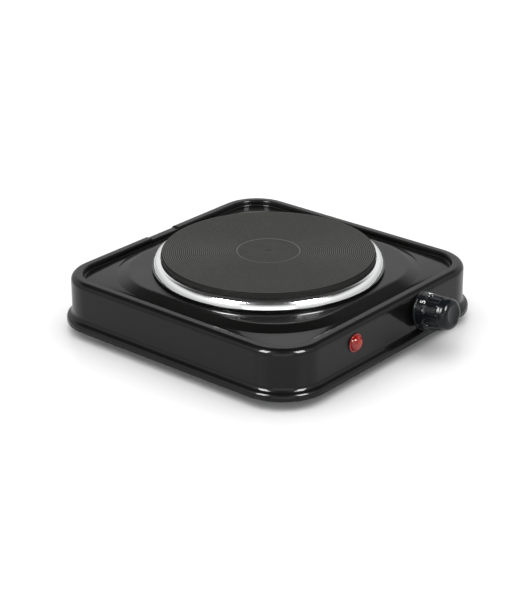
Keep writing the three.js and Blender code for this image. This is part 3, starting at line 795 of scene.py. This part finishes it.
def control_knob():
    """The knob: a face with a fine raised rim, a domed shoulder, the cone with its grips and a skirt at the wall."""
    cone_steps = 84
    (back_r, back_out), (front_r, front_out) = CONE_BACK, CONE_FRONT
    face = [Vector((FACE_RADIUS - inwards, FACE_OUT + raised))
            for inwards, raised in ((FACE_RADIUS, 0), (1, 0), (0.85, 0.06), (0.7, 0.18), (0.5, 0.16), (0, 0))]
    dome_wide, dome_deep, dome_steps = 3.9, 5.3, 32
    for k in range(1, dome_steps - 1):
        turn = k * math.pi / 2 / dome_steps
        face.append(Vector((FACE_RADIUS + dome_wide * math.sin(turn), FACE_OUT - dome_deep * (1 - math.cos(turn)))))
    cone = [Vector((11.7, 22.8)), Vector((11.88, 21.8)), Vector((front_r, front_out))]
    for k in range(1, cone_steps):
        share = k / cone_steps
        cone.append(Vector((front_r + (back_r - front_r) * share, front_out + (back_out - front_out) * share)))
    skirt = eased([
        (back_r, back_out, 0), (13.45, 4.65, 0.15), (SKIRT_RADIUS, 4.35, 0.3), (SKIRT_RADIUS, SKIRT_OUT, 0.3),
        (12.4, SKIRT_OUT, 0.3), (9.4, 22, 0), (5.6, 22, 0), (5.6, 3.6, 0), (BORE_RADIUS, 3.6, 0),
        (BORE_RADIUS, BORE_END, 0), (0, BORE_END, 0),
    ], 15)

    def place(radius, out, angle):
        on_cone = front_out > out > back_out and radius > 11
        pressed = grip_depth(angle, out, radius) if on_cone else 0
        return on_knob(radius - pressed, out, angle)

    solid = lathed(face + cone + skirt, 352, place)
    add_piece("knob_cap", solid, "control", "black_knob", ["control_knob"], 40)


def in_order(elements, place):
    """Sorts a bmesh's vertices or faces by place, since bisecting leaves them in another order each run."""
    ranks = {element: rank for rank, element in enumerate(sorted(elements, key=place))}
    elements.sort(key=ranks.get)


def dial_number(text, degrees):
    """A raised number wrapped round the knob, its top towards the wall."""
    curve = bpy.data.curves.new("dial_" + text, "FONT")
    curve.body = text
    curve.size = DIGIT_TALL / 0.7  # the font's numbers are 0.7 of its size
    curve.align_x = "CENTER"
    curve.offset = 0.02
    label = shown("label", curve)
    bpy.context.view_layer.update()
    shape = bmesh.new()
    shape.from_mesh(evaluated(label))
    bpy.data.objects.remove(label)
    width = max(v.co.x for v in shape.verts) - min(v.co.x for v in shape.verts)
    squeeze = min(1, DIGIT_WIDE / width)
    bottom = min(v.co.y for v in shape.verts)
    top = max(v.co.y for v in shape.verts)
    for v in shape.verts:
        v.co.x *= squeeze
        v.co.y -= (bottom + top) / 2
        v.co.z = 0
    bmesh.ops.remove_doubles(shape, verts=shape.verts, dist=1e-4)
    strip = 0.35
    for k in range(-6, 7):
        everything = shape.verts[:] + shape.edges[:] + shape.faces[:]
        bmesh.ops.bisect_plane(shape, geom=everything, plane_co=(k * strip, 0, 0), plane_no=(1, 0, 0))
    raised = bmesh.ops.extrude_face_region(shape, geom=shape.faces[:])
    for v in raised["geom"]:
        if isinstance(v, bmesh.types.BMVert):
            v.co.z = 1
    slope = (CONE_BACK[0] - CONE_FRONT[0]) / (CONE_FRONT[1] - CONE_BACK[1])
    for v in shape.verts:
        out = DIGIT_AT - v.co.y
        radius = CONE_BACK[0] - (out - CONE_BACK[1]) * slope
        angle = math.radians(degrees) + v.co.x / radius
        v.co = on_knob(radius - DIGIT_SUNK + DIGIT_THICK * v.co.z, out, angle)
    bmesh.ops.recalc_face_normals(shape, faces=shape.faces)
    in_order(shape.verts, lambda v: v.co.to_tuple())
    in_order(shape.faces, lambda f: f.calc_center_median().to_tuple())
    mesh = bpy.data.meshes.new("dial_number_" + text)
    shape.to_mesh(mesh)
    shape.free()
    mesh.materials.append(DIAL_PAINT)
    finish_piece(shown("dial_number_" + text, mesh), "control", (), 40)


DIAL_PAINT = dial_paint()
control_knob()
for number in range(6):
    dial_number(str(number), FIVE_AT + DIAL_STEP * (5 - number))


# ---- lamp, gland, feet -------------------------------------------------------------------------------------
def lamp_lens():
    """The hollow lens: a dome, a flat rim on the wall and a sleeve through it."""
    dome = []
    steps = 14
    for k in range(steps, -1, -1):
        angle = k * math.pi / 2 / steps
        dome.append(Vector((DOME_RADIUS * math.cos(angle), DOME_FOOT + DOME_TALL * math.sin(angle))))
    dome[0].x = 0
    sleeve, hollow, end = 4.9, 3.7, -5
    rim = eased([
        (DOME_RADIUS + 0.15, 1.0, 0), (LENS_RADIUS, 0.9, 0.25), (LENS_RADIUS, 0.3, 0), (sleeve, 0.3, 0),
        (sleeve, end, 0), (hollow, end, 0), (hollow, 0.6, 0.8), (2.4, 1.9, 0.8), (0, 2.4, 0),
    ])
    solid = lathed(dome + rim, 96, out_of_wall(LAMP_X, LAMP_Z, -1))
    add_piece("lamp_cap", solid, "root", "red_lens", ["lamp_lens"], 40)


def cord_gland():
    """The rubber bush for the cord: a nose outside, a neck in the wall's hole and a barb behind it."""
    line = eased([
        (GLAND_BORE, 7, 0.35), (4.9, 7, 0.5), (6.4, 3.9, 0.6), (8.6, 3, 0.6), (8.6, 0.3, 0), (5.7, 0.3, 0),
        (5.7, -1.1, 0), (7.2, -1.1, 0.3), (6.2, -5, 0.3), (GLAND_BORE, -5, 0),
    ])
    solid = lathed(line, 72, out_of_wall(0, GLAND_Z, 1), closed=True)
    add_piece("gland_bush", solid, "root", "black_rubber", ["cord_gland"], 40)


def foot(index, x, y):
    """A rubber foot with its cross-headed screw."""
    line = eased([
        (FOOT_BORE, 3.6, 0), (4.2, 3.6, 0), (4.2, 0.5, 0.4), (5.0, 0, 0.4), (8.2, 0, 0.5), (9, 0.9, 0.5),
        (9.6, FOOT_TOP, 0.6), (FOOT_BORE, FOOT_TOP, 0),
    ])
    solid = lathed(line, 64, upright(x, y), closed=True)
    add_piece(f"rubber_foot_{index}", solid, "root", "black_rubber", [f"foot_{index}"], 40)
    line = eased([(0, 1.4, 0), (2.6, 1.4, 0.6), (3.5, 2.2, 0.5), (3.5, 3.3, 0), (2, 3.3, 0), (2, 16, 0), (0, 16, 0)])
    cutters = []
    for long_x, long_y in ((1.9, 0.42), (0.42, 1.9)):
        corners = [(sx * long_x, sy * long_y, z) for z in (0, 2.7) for sx, sy in ((-1, -1), (1, -1), (1, 1), (-1, 1))]
        points = [AXIS + Vector((x + a, y + b, c)) * MM for a, b, c in corners]
        sides = [(0, 1, 2, 3), (4, 5, 6, 7), (0, 1, 5, 4), (1, 2, 6, 5), (2, 3, 7, 6), (3, 0, 4, 7)]
        cutters.append(plain_object("slot", points, sides))
    solid = lathed(line, 48, upright(x, y))
    add_piece(f"foot_screw_head_{index}", solid, "root", "zinc_steel", [f"foot_screw_{index}"], 30, cutters)


lamp_lens()
cord_gland()
for number, (side_x, side_y) in enumerate(((-1, -1), (1, -1), (1, 1), (-1, 1)), start=1):
    foot(number, side_x * FOOT_AT, side_y * FOOT_AT)


# ---- stage: floor, light and camera ------------------------------------------------------------------------
def floor():
    """A pale floor, 12 m square."""
    half = 6
    mesh = bpy.data.meshes.new("floor")
    mesh.from_pydata([(-half, -half, 0), (half, -half, 0), (half, half, 0), (-half, half, 0)], [], [(0, 1, 2, 3)])
    finish = Finish("floor", (0.83, 0.83, 0.83), 0.2, Specular_IOR_Level=0.1)
    finish.varied(finish.noise(3, 2), 0.05)
    mesh.materials.append(finish.material)
    shown("floor", mesh)


def softbox(name, place, aim, size, power, seen_in):
    """A rectangular light, in metres and watts, that the camera doesn't see."""
    light = bpy.data.lights.new(name, "AREA")
    light.shape = "RECTANGLE"
    light.size, light.size_y = size
    light.energy = power
    lamp = shown(name, light)
    lamp.location = place
    lamp.rotation_mode = "QUATERNION"
    lamp.rotation_quaternion = (Vector(aim) - Vector(place)).to_track_quat("-Z", "Y")
    lamp.visible_camera = False
    lamp.visible_diffuse = "diffuse" in seen_in
    lamp.visible_glossy = "glossy" in seen_in
    lamp.visible_transmission = "transmission" in seen_in


def surroundings():
    """Room light: bright round the horizon and below it, dark overhead."""
    world = bpy.data.worlds.new("studio")
    world.use_nodes = True
    tree = world.node_tree
    place = tree.nodes.new("ShaderNodeTexCoord")
    apart = tree.nodes.new("ShaderNodeSeparateXYZ")
    ramp = tree.nodes.new("ShaderNodeValToRGB")
    tree.links.new(place.outputs["Generated"], apart.inputs["Vector"])
    tree.links.new(apart.outputs["Z"], ramp.inputs["Fac"])
    tree.links.new(ramp.outputs["Color"], tree.nodes["Background"].inputs["Color"])
    first, last = ramp.color_ramp.elements
    first.color = (0.6, 0.6, 0.6, 1)
    last.color = (0.05, 0.05, 0.05, 1)
    for position, value in ((0.3, 1.0), (0.47, 1.1), (0.58, 0.6), (0.66, 0.14), (0.8, 0.06)):
        ramp.color_ramp.elements.new(position).color = (value, value, value, 1)
    bpy.context.scene.world = world


def product_camera():
    """The camera, at the fitted angles and distance."""
    azimuth, elevation, roll = (math.radians(a) for a in (-49.736, 24.011, -0.217))
    target = Vector((-10.85, 5.34, 21.26)) * MM
    distance = 1336.86 * MM
    back = Vector((math.sin(azimuth) * math.cos(elevation), -math.cos(azimuth) * math.cos(elevation),
                   math.sin(elevation)))
    level = Vector((math.cos(azimuth), math.sin(azimuth), 0))
    above = back.cross(level)
    right = level * math.cos(roll) + above * math.sin(roll)
    up = above * math.cos(roll) - level * math.sin(roll)
    camera = bpy.data.cameras.new("camera")
    camera.lens = 111.04
    camera.sensor_width = 36
    camera.clip_start = 0.05
    camera.clip_end = 50
    holder = shown("camera", camera)
    pose = Matrix((right, up, back)).transposed().to_4x4()
    pose.translation = target + back * distance
    holder.matrix_world = pose
    bpy.context.scene.camera = holder


floor()
surroundings()
BURNER = (0, 0, 0.05)
softbox("left_box", (-1.3, 0.18, 1.15), BURNER, (0.55, 0.8), 60, ("glossy",))
softbox("front_box", (-0.12, -1.35, 1.15), BURNER, (0.55, 0.8), 60, ("glossy",))
softbox("low_card", (-1.7, -1.44, 0.48), BURNER, (1.9, 0.8), 7, ("glossy",))
softbox("back_box", (0.845, 0.709, 0.91), BURNER, (0.5, 0.25), 0.5, ("glossy",))
softbox("overhead", (0, 0, 2.6), (0, 0, 0), (5, 5), 150, ("diffuse", "transmission"))
product_camera()
bpy.context.scene.view_settings.view_transform = "Standard"
